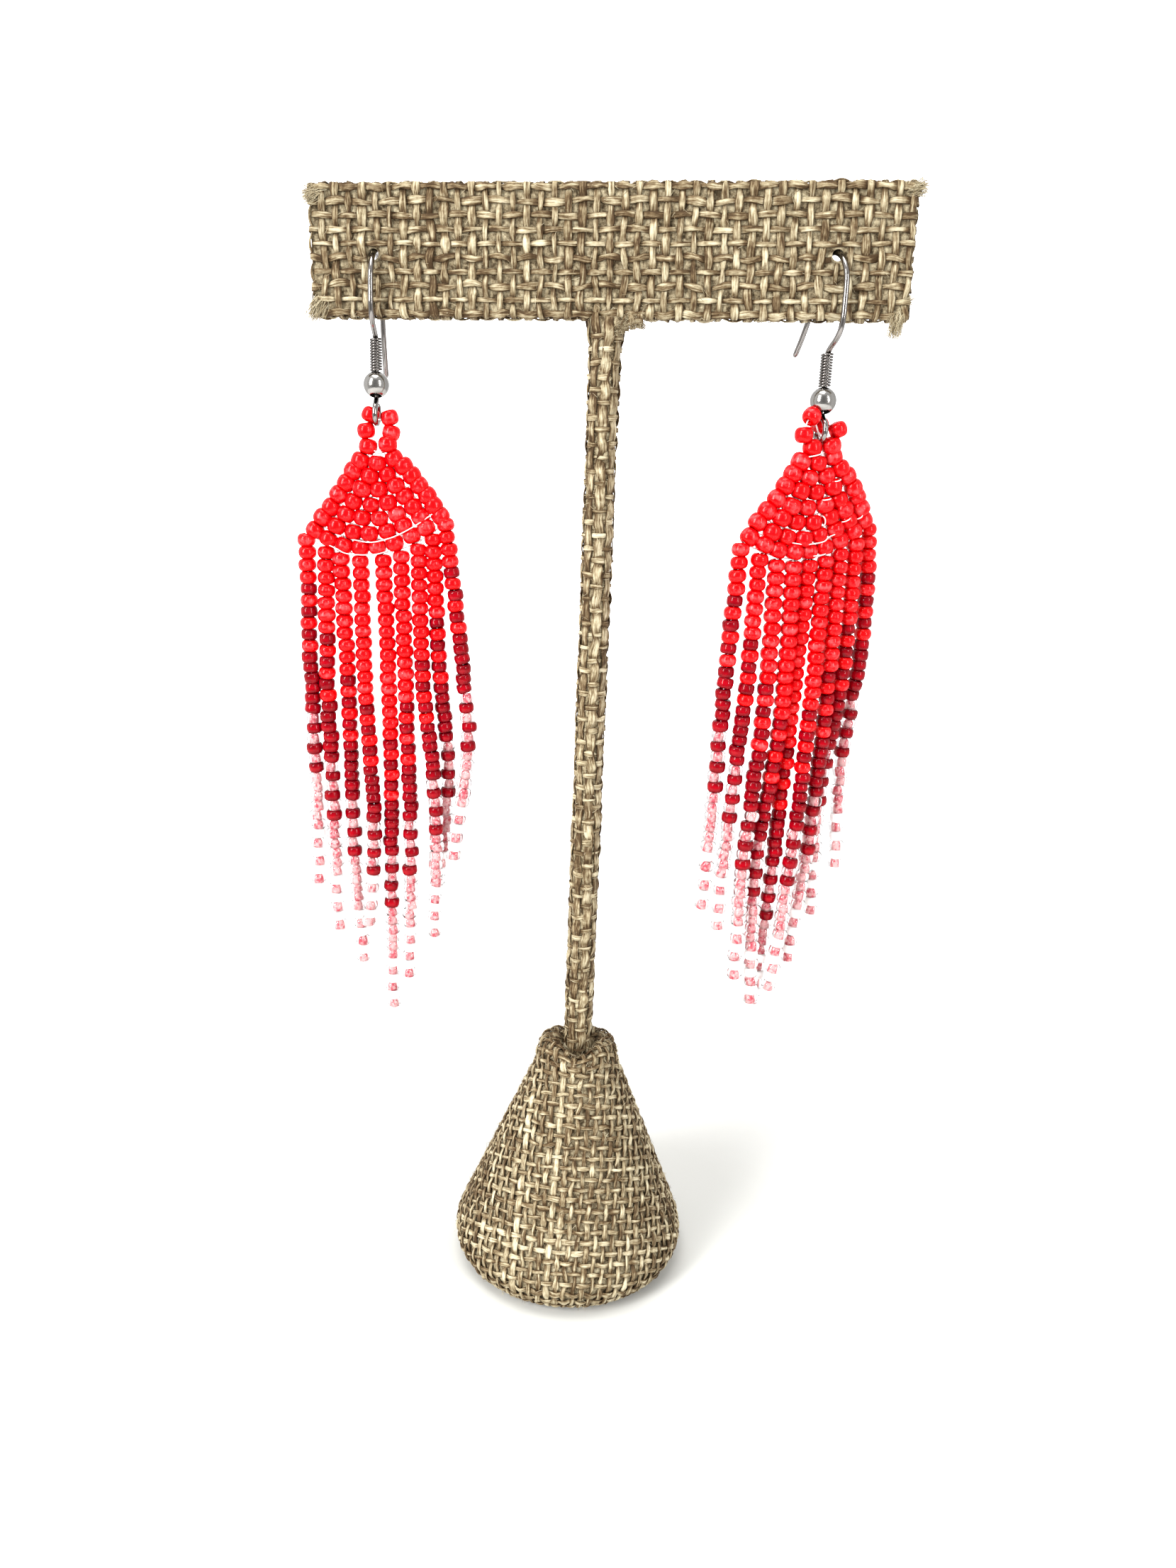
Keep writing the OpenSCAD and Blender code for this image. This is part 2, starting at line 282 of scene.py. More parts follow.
# Materials
class Graph:
    """Adds nodes to a material or world. A value is a number or another node's output."""

    def __init__(self, tree):
        self.nodes, self.links = tree.nodes, tree.links

    def feed(self, socket, value):
        if isinstance(value, bpy.types.NodeSocket):
            self.links.new(value, socket)
        else:
            socket.default_value = value

    def fill(self, node, **values):
        """Feeds inputs by their names, with _ for a blank."""
        for name, value in values.items():
            self.feed(node.inputs[name.replace("_", " ")], value)
        return node

    def new(self, kind, *values, **settings):
        node = self.nodes.new("ShaderNode" + kind)
        for name, value in settings.items():
            setattr(node, name, value)
        for socket, value in zip(node.inputs, values):
            self.feed(socket, value)
        return node

    def math(self, kind, *values):
        return self.new("Math", *values, operation=kind).outputs[0]

    def spread(self, value, size):
        """A noise value moved to lie about 0, size times as strong."""
        return self.math("MULTIPLY_ADD", value, size, -size / 2)

    def attribute(self, name, output="Fac"):
        return self.new("Attribute", attribute_name=name).outputs[output]

    def noise(self, scale, detail, rough=0.5):
        """Noise in metres or, where scale has three values, along and across a yarn."""
        if isinstance(scale, tuple):
            mapping = self.fill(self.new("Mapping", self.attribute("place", "Vector")), Scale=scale)
            where, scale = mapping.outputs["Vector"], 1.0
        else:
            where = self.new("TexCoord").outputs["Object"]
        node = self.fill(self.new("TexNoise"), Vector=where, Scale=scale, Detail=detail, Roughness=rough)
        return node.outputs["Fac"]

    def ramp(self, value, stops):
        """A colour blended between stops of value and colour."""
        node = self.new("ValToRGB", value)
        elements = node.color_ramp.elements
        elements[0].position = stops[0][0]
        elements[-1].position = stops[-1][0]
        for place, _ in stops[1:-1]:
            elements.new(place)
        for element, (_, colour) in zip(elements, stops):
            element.color = (*colour, 1)
        return node.outputs["Color"]

    def paint(self, value, stops):
        """Colours the material by a value."""
        self.fill(self.nodes["Principled BSDF"], Base_Color=self.ramp(value, stops))

    def bump(self, height, strength, distance):
        node = self.fill(self.new("Bump"), Strength=strength, Distance=distance, Height=height)
        self.fill(self.nodes["Principled BSDF"], Normal=node.outputs["Normal"])


def material(name, roughness, **fixed):
    """A material and its graph. fixed holds other inputs of the shader."""
    made = bpy.data.materials.new(name)
    made.use_nodes = True
    graph = Graph(made.node_tree)
    graph.fill(graph.nodes["Principled BSDF"], Roughness=roughness, **fixed)
    return made, graph


def yarn_material():
    """Jute yarn: flat fibres and dark cracks run along it, and each yarn has its own tone."""
    made, graph = material("burlap_yarn", 0.65, Specular_IOR_Level=0.18)
    fibres = graph.noise((0.55, 4.6, 4.6), 4.0, 0.7)
    broad = graph.noise((0.6, 2.1, 2.1), 1.0)
    blotches = graph.noise((1.1, 0.9, 0.9), 3.0, 0.6)
    value = graph.math("ADD", graph.spread(fibres, 1.8), graph.spread(broad, 0.8))
    value = graph.math("ADD", value, graph.spread(blotches, 0.9))
    value = graph.math("ADD", value, graph.attribute("tone"))
    # Dark where a noise is near its middle, which is a thin line along the yarn
    crack = graph.math("SUBTRACT", graph.noise((0.22, 3.4, 3.4), 1.0), 0.5)
    crack = graph.math("MULTIPLY", graph.math("ABSOLUTE", crack), 9.0)
    crack = graph.math("MINIMUM", crack, 1.0)
    crack = graph.math("MULTIPLY", graph.math("SUBTRACT", crack, 1.0), 0.3)
    value = graph.math("ADD", value, crack)
    stops = ((0.0, (0.055, 0.03, 0.011)), (0.25, (0.14, 0.091, 0.043)), (0.5, (0.29, 0.23, 0.133)),
             (0.75, (0.49, 0.417, 0.272)), (1.0, (0.64, 0.57, 0.4)))
    graph.paint(value, stops)
    graph.bump(fibres, 1.0, 0.00022)
    return made


def backing_and_shade_material():
    """What shows between the yarns: brownish glue and short fibres, partly its own brown and partly
    darkened as painted shade in the gaps between the yarns.
    """
    made, graph = material("burlap_backing_and_shade", 0.85, Specular_IOR_Level=0.2)
    flecks = graph.noise(900, 4.0, 0.7)
    # Its own brown, darkened in part as painted shade of the gaps
    stops = ((0.38, (0.05, 0.033, 0.015)), (0.5, (0.22, 0.174, 0.102)), (0.66, (0.5, 0.43, 0.28)))
    graph.paint(flecks, stops)
    graph.bump(flecks, 0.6, 0.0002)
    return made


def bead_material(name, stops, roughness, speckle=0.5, grain=1100, **fixed):
    """Seed bead glass with faint streaks, each bead in its own tone."""
    made, graph = material(name, roughness, **fixed)
    value = graph.math("ADD", graph.spread(graph.noise(grain, 2.0), speckle), graph.attribute("tone"))
    graph.paint(value, stops)
    return made


def steel_material(name, colour, roughness):
    """Steel with faint drawing marks along the wire."""
    made, graph = material(name, roughness, Metallic=1.0)
    marks = graph.noise((0.8, 14, 14), 3.0)
    darker = tuple(0.8 * c for c in colour)
    graph.paint(marks, ((0.3, darker), (0.7, colour)))
    graph.bump(marks, 0.15, 0.00003)
    return made


YARN = yarn_material()
BACKING_AND_SHADE = backing_and_shade_material()
CORAL = bead_material(
    "coral_glass", ((0.0, (0.56, 0.0, 0.0003)), (0.55, (0.68, 0.001, 0.004)), (1.0, (0.82, 0.075, 0.08))),
    roughness=0.19, speckle=1.35, grain=1500, Specular_IOR_Level=0.19)
DARK = bead_material(
    "dark_red_glass", ((0.1, (0.14, 0.0, 0.003)), (0.9, (0.34, 0.0003, 0.006))),
    roughness=0.09, speckle=1.0, grain=1700, Specular_IOR_Level=0.15)
CRYSTAL = bead_material(
    "clear_glass", ((0.1, (0.98, 0.9, 0.91)), (0.9, (1.0, 0.96, 0.96))),
    roughness=0.03, speckle=0.1, IOR=1.5, Transmission_Weight=1.0)
LINING = bead_material(
    "pink_lining", ((0.1, (0.66, 0.04, 0.08)), (0.9, (0.94, 0.52, 0.52))),
    roughness=0.5, speckle=3.4, grain=2600)
WHITE = bead_material("white_glass", ((0.1, (0.93, 0.92, 0.9)), (0.9, (0.97, 0.965, 0.95))), 0.25)
THREAD = bead_material("thread", ((0.1, (0.8, 0.62, 0.6)), (0.9, (0.97, 0.9, 0.88))), 0.55)
WIRE_STEEL = steel_material("wire_steel", (0.29, 0.27, 0.255), 0.12)
# A darker copy of the wire's steel for the coil: painted shade
SHADED_COIL_STEEL = steel_material("shaded_coil_steel", (0.18, 0.165, 0.155), 0.14)
BALL_STEEL = steel_material("ball_steel", (0.38, 0.365, 0.345), 0.17)
# Near-black steel for the ball's hole wall: painted shade inside the hole
SHADED_BORE = steel_material("painted_shade_bore", (0.06, 0.055, 0.05), 0.5)
BEAD_MATERIALS = [CORAL, DARK, CRYSTAL, LINING, WHITE, THREAD]
CORAL_SLOT, DARK_SLOT, CRYSTAL_SLOT, LINING_SLOT, WHITE_SLOT, THREAD_SLOT = range(6)


# Beads
def outside(radius, half, roundness, end):
    """Section of a bead's outside, between two flat ends of radius end."""
    t = np.linspace(-math.pi / 2, math.pi / 2, 11)
    c, s = np.cos(t), np.sin(t)
    return columns(end + (radius - end) * np.abs(c) ** (2 / roundness),
                   half * np.sign(s) * np.abs(s) ** (2 / roundness))


def drilled_bead(radius, half, roundness, end, sides):
    """A bead with its hole."""
    hole = 0.34
    lip = (end + hole) / 2
    wall = [(lip, half * 0.96), (hole, half * 0.75), (hole, -half * 0.75), (lip, -half * 0.96)]
    return revolve(np.concatenate([outside(radius, half, roundness, end), wall]), sides)


def clear_bead(radius, half, roundness, end, sides):
    """A whole bead of clear glass. Its lined hole is a core of its own."""
    below = [(0.03, -half * 0.9), (0.3, -half * 0.93)]
    above = [(0.3, half * 0.93), (0.03, half * 0.9)]
    section = np.concatenate([below, outside(radius, half, roundness, end), above])
    return revolve(section, sides, closed=False)


# Columns: radius, half length, roundness, radius of the flat ends, sides
BEADS = {
    "coral": (drilled_bead(1.2, 0.84, 2.15, 0.55, 16), CORAL_SLOT),
    "fan": (drilled_bead(1.22, 1.0, 2.3, 0.45, 18), CORAL_SLOT),
    "dark": (drilled_bead(1.1, 0.72, 3.0, 0.6, 18), DARK_SLOT),
    "white": (drilled_bead(1.0, 0.66, 2.5, 0.6, 16), WHITE_SLOT)}
CLEAR = clear_bead(1.05, 0.69, 2.6, 0.58, 18)
CORE = revolve(np.array([(0.05, -0.6), (0.36, -0.62), (0.42, -0.45), (0.42, 0.45), (0.36, 0.62),
                         (0.05, 0.6)]), 14, closed=False)


def place_bead(shape, kind, centre, axis, rng, tilt, size):
    """Adds one bead, its hole a little off an axis. An opaque one is painted deeper in colour at its
    ends, as painted shade where it meets its neighbours, and lighter round its middle, as a painted
    sheen.
    """
    w = unit(axis + rng.normal(size=3) * tilt)
    u = unit(np.cross(w, rng.normal(size=3)))
    turn = np.stack([u, np.cross(w, u), w]) * size
    tone = rng.uniform(0.4, 0.85)
    if kind in ("clear", "pink"):
        for (p, faces), slot in ((CLEAR, CRYSTAL_SLOT), (CORE, LINING_SLOT)):
            shape.add(p @ turn + centre, faces, slot, tone)
    else:
        (p, faces), slot = BEADS[kind]
        # Painted shade at the ends, where beads meet, and a painted sheen round the middle
        z = np.abs(p[:, 2])
        sheen_belt = 1 - (z / z.max()) ** 1.2
        shape.add(p @ turn + centre, faces, slot, tone * (0.1 + 0.9 * sheen_belt))


def add_thread(shape, p, radius, sides, tone):
    tube(shape, p, radius, sides, (0, 1, 0), slot=THREAD_SLOT, tone=tone)


def row_half(k):
    return ROW_HALF + ROW_WIDER * (k - 2)


def arc_r(k):
    """Radius of the arc that a row follows."""
    sag = ROW_SAG + SAG_DEEPER * max(0, k - 2)
    return (row_half(k) ** 2 + sag ** 2) / (2 * sag)


def row_z(k, x):
    """Height of a row at x, from the middle of the first row."""
    return arc_r(k) - np.sqrt(arc_r(k) ** 2 - x * x) - ROW_PITCH * (k - 2) + RISE * x


def bend(side, x):
    """How far a fan lies back at x."""
    return FAN_BEND[side] - np.sqrt(FAN_BEND[side] ** 2 - x * x)


def string_kinds(coral, plain):
    """Kinds of bead from the top, each two mixed where they meet."""
    return (["coral"] * coral + ["dark", "coral"] * 3 + ["dark"] * 6 + ["clear", "dark"] * 3
            + ["pink"] * plain + ["white", "pink"] * 3)


def string_piece(side, number, rng):
    """Beads along a curve, each a little off it and askew, and the thread in them."""
    coral, plain, length, *route = STRINGS[side][number]
    kinds = string_kinds(coral, plain)
    top = FAN_Z[side] + row_z(HEM_ROW, route[0]) + BEAD_LENGTH / 2
    back = bend(side, route[0])
    curve = smooth([(route[i], back + route[4 + i], top - length * i / 3) for i in range(4)], 120)
    room = np.array([SPACING[kind] for kind in kinds])
    scale = length / room.sum()
    room *= scale
    at = np.cumsum(room) - room / 2
    centres = columns(*(np.interp(at, lengths(curve), curve[:, k]) for k in range(3)))
    centres[:, 0] += ASIDE.get((side, number), 0.0) * np.clip(1 - at / ASIDE_REACH, 0, 1)
    ahead = unit(np.gradient(centres, axis=0))
    # Coral and white beads are more even than the others
    even = np.array([kind in ("coral", "white") for kind in kinds])
    loose = np.where(even, 0.045, 0.09)
    centres[:, :2] += rng.normal(size=(len(kinds), 2)) * loose[:, None]
    shape = Shape()
    for kind, centre, axis, off, vary in zip(kinds, centres, -ahead, loose, np.where(even, 0.016, 0.026)):
        size = min(max(rng.normal(1, vary), 0.955), 1.04) * min(scale, 1.0)
        place_bead(shape, kind, hung(side, centre), turned(side, axis), rng, 0.03 + off * 0.7, size)
    thread = np.concatenate([[centres[0] + (0, 0, 0.9)], centres, [centres[-1] - (0, 0, 0.62)]])
    add_thread(shape, hung(side, resample(thread, 1.4)), 0.11, 6, 0.6)
    return shape.build(f"{SIDES[side]}_beads_{number + 1}", BEAD_MATERIALS)


def in_fan(side, x, depth, z):
    """Points of a fan at x and z, this far in front of its middle."""
    return hung(side, np.stack([x, bend(side, x) - depth, z], axis=-1))


def add_fan_beads(shape, side, rng):
    """Rows of beads along arcs, by turns a little in front and behind, the outer ones larger."""
    for k in FAN_ROWS:
        r = arc_r(k)
        reach = math.asin(row_half(k) / r)
        off_x, off_z = ROW_OFF[side].get(k, (0, 0))
        tight = ROW_TIGHT[side].get(k, 1.0)
        for n, a in enumerate(np.linspace(-reach, reach, k)):
            x = r * math.sin(a) * tight + rng.normal() * 0.05
            z = FAN_Z[side] + row_z(k, x) + off_z + rng.normal() * 0.06
            axis = (-math.sin(a) * 0.9, rng.normal() * 0.05, math.cos(a))
            centre = in_fan(side, x + off_x, (n % 2 - 0.5) * 0.2 + rng.normal() * 0.05, z)
            size = min(max(rng.normal(0.985 + 0.04 * abs(a) / reach, 0.02), 0.94), 1.05)
            place_bead(shape, "fan", centre, turned(side, axis), rng, 0.06, size)


def add_fan_threads(shape, side, rng):
    """A thread under each row with stitches between its beads, and the loose thread in front."""
    for k in FAN_ROWS:
        under = k + 0.5
        half = row_half(under) * (0.96 if k < FAN_ROWS[-1] else 1.0)
        x = np.linspace(-half, half, 4 * k + 12)
        low = row_z(under, x) + wander(rng, x, 0.05)
        add_thread(shape, in_fan(side, x, 0.0, FAN_Z[side] + low), 0.08, 6, 0.5)
        for middle in np.linspace(-half, half, k + 1)[:-1] + half / (k + 1):
            x = middle + np.array([-0.42, -0.1, 0.05, 0.42])
            depth = np.array([0.0, 0.15, 0.18, 0.0])
            z = FAN_Z[side] + row_z(under, middle) + np.array([-0.5, 0.0, 0.1, -0.45])
            add_thread(shape, smooth(in_fan(side, x, depth, z), 8), 0.07, 5, 0.5)
    for route in THREADS[side]:
        count = 4 * len(route) + 4
        p = smooth(route, count)
        depth = 0.2 + 1.08 * np.sin(math.pi * np.linspace(0, 1, count)) ** 0.5
        add_thread(shape, in_fan(side, p[:, 0], depth, p[:, 1]), 0.075, 6, 0.3)


def fan_piece(side, rng):
    shape = Shape()
    add_fan_beads(shape, side, rng)
    add_fan_threads(shape, side, rng)
    return shape.build(f"{SIDES[side]}_stitched_fan", BEAD_MATERIALS)


def loop_piece(side, rng):
    """Four beads on a thread that goes through the ear wire's eye."""
    shape = Shape()
    for centre, axis in LOOP_BEADS[side]:
        place_bead(shape, "fan", hung(side, centre), turned(side, axis), rng, 0.02, 0.97)
    first, second, third, fourth = (centre for centre, _ in LOOP_BEADS[side])
    eye, low = (0.05, 0.05, 122.45), FAN_Z[side] - 0.6
    route = [(-1.25, 0, low), first, second, eye, third, fourth, (1.25, 0, low)]
    add_thread(shape, hung(side, smooth(route, 60)), 0.11, 6, 0.7)
    return shape.build(f"{SIDES[side]}_top_loop", BEAD_MATERIALS)


# Ear wires
def ear_wire_route(side):
    """The wire from the tail's end over the hook and through the ball to its eye."""
    arc_z = BAR_Z - HOLE_DROP + HOLE_X[side] * math.sin(math.radians(BAR_TILT)) + ARC_OVER - HOOK_R
    reach = TAIL_REACH[side]
    tail = smooth([(7.4, arc_z - reach), (6.4, arc_z - reach * 0.75), (5.4, arc_z - reach * 0.45),
                   (4.9, arc_z - reach * 0.2)], 16)
    a = np.radians(np.arange(0, 181, 5))
    arc = columns(ARC_BEHIND + HOOK_R * np.cos(a), arc_z + HOOK_R * np.sin(a))
    e = np.radians(np.arange(110, 417, 6))
    eye = columns(EYE_R * np.cos(e), EYE_Z + EYE_R * np.sin(e))
    flat = resample(np.concatenate([tail, arc, smooth(WIRE_BEND, 80), [(-0.05, 124.95)], eye]), 0.22)
    for _ in range(3):
        flat[1:-1] = (flat[:-2] + 2 * flat[1:-1] + flat[2:]) / 4
    y, z = flat[:, 0], flat[:, 1]
    aside = TAIL_ASIDE[side] * np.clip((arc_z - z) / reach, 0, 1) ** 1.5
    return columns(np.where(y > 4, aside, 0.0), y, z)


def ear_wire_piece(side):
    shape = Shape()
    p = ear_wire_route(side)
    radius = np.full(len(p), WIRE_D / 2)
    radius[[0, -1]] *= 0.55
    radius[[1, -2]] *= 0.9
    tube(shape, hung(side, p) + HOOK_ASIDE[side], radius, 14, turned(side, (1, 0, 0)))
    return shape.build(f"{SIDES[side]}_hook", [WIRE_STEEL])


def coil_piece(side):
    """Fine wire wound round the shank, with a little more at both ends."""
    shape = Shape()
    steps = 20
    t = np.arange(-12, COIL_TURNS * steps + 14) / steps
    a = math.tau * t
    p = columns(COIL_R * np.cos(a), COIL_R * np.sin(a), COIL_Z + COIL_PITCH * t)
    tube(shape, hung(side, p) + HOOK_ASIDE[side], COIL_WIRE / 2, 8, (0, 0, 1))
    return shape.build(f"{SIDES[side]}_wound_wire", [SHADED_COIL_STEEL])


def ball_piece(side):
    """A ball turned about its drilled hole, whose wall is painted near black as painted shade inside the
    hole.
    """
    sides = 48
    r, hole = BALL_D / 2, BALL_HOLE_D / 2
    low = math.asin((hole + 0.06) / r)
    t = np.linspace(low, math.pi - low, 30)
    outer = columns(r * np.sin(t), r * np.cos(t))
    edge = outer[-1][1]
    wall = [(hole + 0.02, edge + 0.03), (hole, edge + 0.1), (hole, -edge - 0.1),
            (hole + 0.02, -edge - 0.03)]
    p, faces = revolve(np.concatenate([outer, wall])[::-1], sides)
    lean = math.radians(BALL_LEAN)
    c, s = math.cos(lean), math.sin(lean)
    askew = np.array([[1, 0, 0], [0, c, s], [0, -s, c]])
    shape = Shape()
    shape.add(hung(side, p @ askew + (0, 0, BALL_Z)) + HOOK_ASIDE[side], faces)
    # The hole's wall takes the near-black painted shade
    shape.slots[0][:len(wall) * sides] = 1
    return shape.build(f"{SIDES[side]}_bead_ball", [BALL_STEEL, SHADED_BORE])


# Burlap.
# Section of a yarn, as shares of its width and thickness, from one edge over the top and back
YARN_SECTION = np.array([(1, 0), (0.74, 0.8), (0, 0.7), (-0.74, 0.8), (-1, 0), (-0.74, -0.8), (0, -0.7),
                         (0.74, -0.8)])
# How much darker each of these corners is painted, which is painted shade at the edges and underside and
# a little painted highlight on the top, and how far it follows the yarn's groove
YARN_PAINTED_SHADE = np.array([0.34, 0.02, -0.08, 0.02, 0.34, 0.3, 0.3, 0.3])
YARN_GROOVE = np.array([0, 0, 0.35, 0, 0, 0, -0.35, 0])
# How square the wave over and under the crossings is
SQUARE = 1.7
FLOOR_GAP = 0.03


def lay_yarn(shape, surface, flat, cross, rng, width, thick, lift, tone, seed, closed=False):
    """Lays one yarn. cross is its place among the yarns that it passes over and under."""
    s = lengths(flat)
    wave = np.cos(math.pi * cross)
    height = lift * np.tanh(SQUARE * wave) / math.tanh(SQUARE)
    low = (1 - wave) / 2
    crossing = np.floor(cross + 0.5).astype(int)
    patch = rng.normal(size=crossing.max() - crossing.min() + 1)[crossing - crossing.min()] * 0.1
    w = width / 2 * np.clip(1 + wander(rng, s, 0.2, (1.7, 4.1, 11.0)), 0.5, 1.5) * (1 - 0.12 * low)
    t = thick / 2 * np.clip(1 + wander(rng, s, 0.18), 0.5, 1.5)
    p, n = surface(flat)
    p = p + n * (height + wander(rng, s, 0.035))[:, None]
    ahead = unit(np.roll(p, -1, 0) - np.roll(p, 1, 0) if closed else np.gradient(p, axis=0))
    side = unit(np.cross(n, ahead))
    up = np.cross(ahead, side)
    lean = wander(rng, s, 0.22)[:, None]
    side, up = unit(side + up * lean), unit(up - side * lean)
    groove = YARN_GROOVE[None] * wander(rng, s + 9, 0.8)[:, None]
    x = (YARN_SECTION[:, 0][None] + groove) * w[:, None]
    y = YARN_SECTION[:, 1][None] * t[:, None]
    ring = p[:, None] + x[..., None] * side[:, None] + y[..., None] * up[:, None]
    ring[..., 2] = np.maximum(ring[..., 2], FLOOR_GAP)
    # Painted shade: darker where the yarn dips under another
    value = tone - 0.05 + patch + wander(rng, s, 0.08, (2.3, 4.7, 9.0)) - 0.36 * low**2
    # Painted shade at the yarn's edges and underside, and a little painted highlight on its top
    value = value[:, None] - YARN_PAINTED_SHADE[None]
    place = np.stack([np.broadcast_to(s[:, None] + seed, x.shape), x + seed * 0.37, y], axis=-1)
    faces = rings(len(p), len(YARN_SECTION), closed)
    shape.add(ring.reshape(-1, 3), faces, 0, value.ravel(), place.reshape(-1, 3))


def bar_section():
    """The bar's upright section as y, z and outward direction, at the yarns' middle depth."""
    a, b, r = BAR_D / 2 - 0.2, BAR_H / 2 - 0.08, 0.55
    corners = ((-1, 1, 90), (-1, -1, 180), (1, -1, 270), (1, 1, 0))
    pts = [(y * (a - r) + r * math.cos(t), z * (b - r) + r * math.sin(t), math.cos(t), math.sin(t))
           for y, z, start in corners for t in np.radians(np.linspace(start, start + 90, 7))]
    pts = np.array(pts + pts[:1])
    return lengths(pts[:, :2]), pts


BAR_S, BAR_PTS = bar_section()
BAR_AROUND = BAR_S[-1]
# Radius of the cloth's fold over the bar's ends
BAR_FOLD = 0.5


def tilted(v):
    """Turns a place or direction with the bar."""
    a = math.radians(BAR_TILT)
    x, y, z = v[..., 0], v[..., 1], v[..., 2]
    return np.stack([x * math.cos(a) - z * math.sin(a), y, x * math.sin(a) + z * math.cos(a)], axis=-1)


def on_bar(v):
    """From the bar's own place to the stand's."""
    return tilted(v) + (0, 0, BAR_Z)


def bar_surface(flat):
    """Cloth on the bar: u runs along it and folds over its ends, v runs round it."""
    u, v = flat[:, 0] - BAR_SHIFT, flat[:, 1] % BAR_AROUND
    y, z, ny, nz = (np.interp(v, BAR_S, BAR_PTS[:, k]) for k in range(4))
    edge = BAR_W / 2 - 0.25 - BAR_FOLD
    over = np.maximum(np.abs(u) - edge, 0)
    t = np.minimum(over / BAR_FOLD, math.pi / 2)
    inward = BAR_FOLD * (1 - np.cos(t)) + np.maximum(over - BAR_FOLD * math.pi / 2, 0)
    x = np.sign(u) * (np.minimum(np.abs(u), edge) + BAR_FOLD * np.sin(t)) + BAR_SHIFT
    n = columns(np.sign(u) * np.sin(t), ny * np.cos(t), nz * np.cos(t))
    return on_bar(columns(x, y - ny * inward, z - nz * inward)), tilted(unit(n))


def lay_on_bar(shape, flat, cross, rng, closed, **yarn):
    """Lays a yarn on the bar, cut where it meets a hole."""
    z = np.interp(flat[:, 1] % BAR_AROUND, BAR_S, BAR_PTS[:, 1])
    far = np.min([np.hypot(flat[:, 0] - x, z + HOLE_DROP) for x in HOLE_X], axis=0)
    cut = far < HOLE_CUT_R
    if closed and cut.any():
        # Starts the round at the hole
        first = np.argmax(cut)
        whole = cross[-1] - cross[0] + cross[1] - cross[0]
        flat = np.concatenate([flat[first:], flat[:first] + (0, BAR_AROUND)])
        cross = np.concatenate([cross[first:], cross[:first] + whole])
        cut = np.roll(cut, -first)
        closed = False
    for start, end in spans(~cut, 3):
        lay_yarn(shape, bar_surface, flat[start:end], cross[start:end], rng, closed=closed, **yarn)


def bar_weave():
    """Burlap on the crossbar: a piece of yarns round it and one of yarns along it."""
    rng = np.random.default_rng(11)
    along_count, round_reach = 22, 22
    round_pitch, round_shift = 1.7, 0.25
    along_pitch = BAR_AROUND / along_count
    warp = Shape()
    v = steps_round(int(BAR_AROUND / 0.42), BAR_AROUND)
    for i in range(-round_reach, round_reach + 1):
        drift = wander(rng, v, 0.2, (5, 9, 19)) * np.sin(math.pi * v / BAR_AROUND)
        u = i * round_pitch + round_shift + drift
        light = rng.choice((0.0, 0.14, -0.1), p=(0.6, 0.22, 0.18))
        lay_on_bar(warp, columns(u, v), v / along_pitch - 0.5 + i, rng, True,
                   width=rng.uniform(0.65, 1.12), thick=0.3, lift=0.15,
                   tone=0.6 + light + rng.normal() * 0.06, seed=i * 31.0)
    weft = Shape()
    reach = BAR_W / 2 + 1.0
    u = np.arange(-reach, reach, 0.45)
    for j in range(along_count):
        v = (j + 0.5) * along_pitch + wander(rng, u, 0.16, (5, 9, 19))
        light = rng.choice((0.0, 0.12, -0.1), p=(0.6, 0.2, 0.2))
        lay_on_bar(weft, columns(u, v), (u - round_shift) / round_pitch + j + 1, rng, False,
                   width=rng.uniform(0.6, 1.0), thick=0.28, lift=0.17,
                   tone=0.64 + light + rng.normal() * 0.06, seed=900 + j * 47.0)
    return warp.build("bar_warp", [YARN]), weft.build("bar_weft", [YARN])


def bar_core():
    """What the burlap of the bar is glued to, with the two holes through it."""
    x, y, z = BAR_W / 2 - 0.32, BAR_D / 2 - 0.45, BAR_H / 2 - 0.4
    ends = (-1, 1)
    corners = np.array([(a * x + BAR_SHIFT, b * y, c * z) for a in ends for b in ends for c in ends])
    faces = np.array([(0, 1, 3, 2), (4, 6, 7, 5), (0, 4, 5, 1), (2, 3, 7, 6), (0, 2, 6, 4), (1, 5, 7, 3)])
    shape = Shape()
    shape.add(on_bar(corners), [faces])
    core = shape.build("bar_core", [BACKING_AND_SHADE], flat=True)
    for hole_x in HOLE_X:
        p, faces = revolve(np.array([(HOLE_OPEN_R, -4), (HOLE_OPEN_R, 4)]), 24, closed=False)
        drill = Shape()
        drill.add(on_bar(columns(p[:, 0] + hole_x, p[:, 2], -p[:, 1] - HOLE_DROP)), faces)
        tool = drill.build("drill", [BACKING_AND_SHADE], flat=True)
        cut = core.modifiers.new("hole", "BOOLEAN")
        cut.operation, cut.object, cut.solver = "DIFFERENCE", tool, "EXACT"
        drilled = core.evaluated_get(bpy.context.evaluated_depsgraph_get())
        mesh = bpy.data.meshes.new_from_object(drilled)
        core.modifiers.clear()
        core.data = mesh
        bpy.data.objects.remove(tool)
    return core


STEM_R = STEM_D / 2 - 0.08
# The cloth starts to flare here, and is never deeper than this from front to back
FLARE_Z, STEM_HALF = 131, 1.85


def stem_surface(flat):
    """Cloth round the stem: u runs round it, v is the height. It flares under the bar."""
    u, z = flat[:, 0], flat[:, 1]
    a = u / STEM_R + 0.12 * np.sin(z / 23) + 0.05 * np.sin(z / 7.1)
    flare = np.clip((z - FLARE_Z) / 4, 0, 1.2) ** 2
    r = STEM_R * (1 + 0.02 * np.sin(z / 3.3 + 2 * a)) + 0.32 * flare
    x = (r + 0.35 * flare) * np.cos(a) + 0.15 * flare
    y = np.minimum(r, STEM_HALF) * np.sin(a)
    return columns(x, y, z), columns(np.cos(a), np.sin(a), 0 * a)


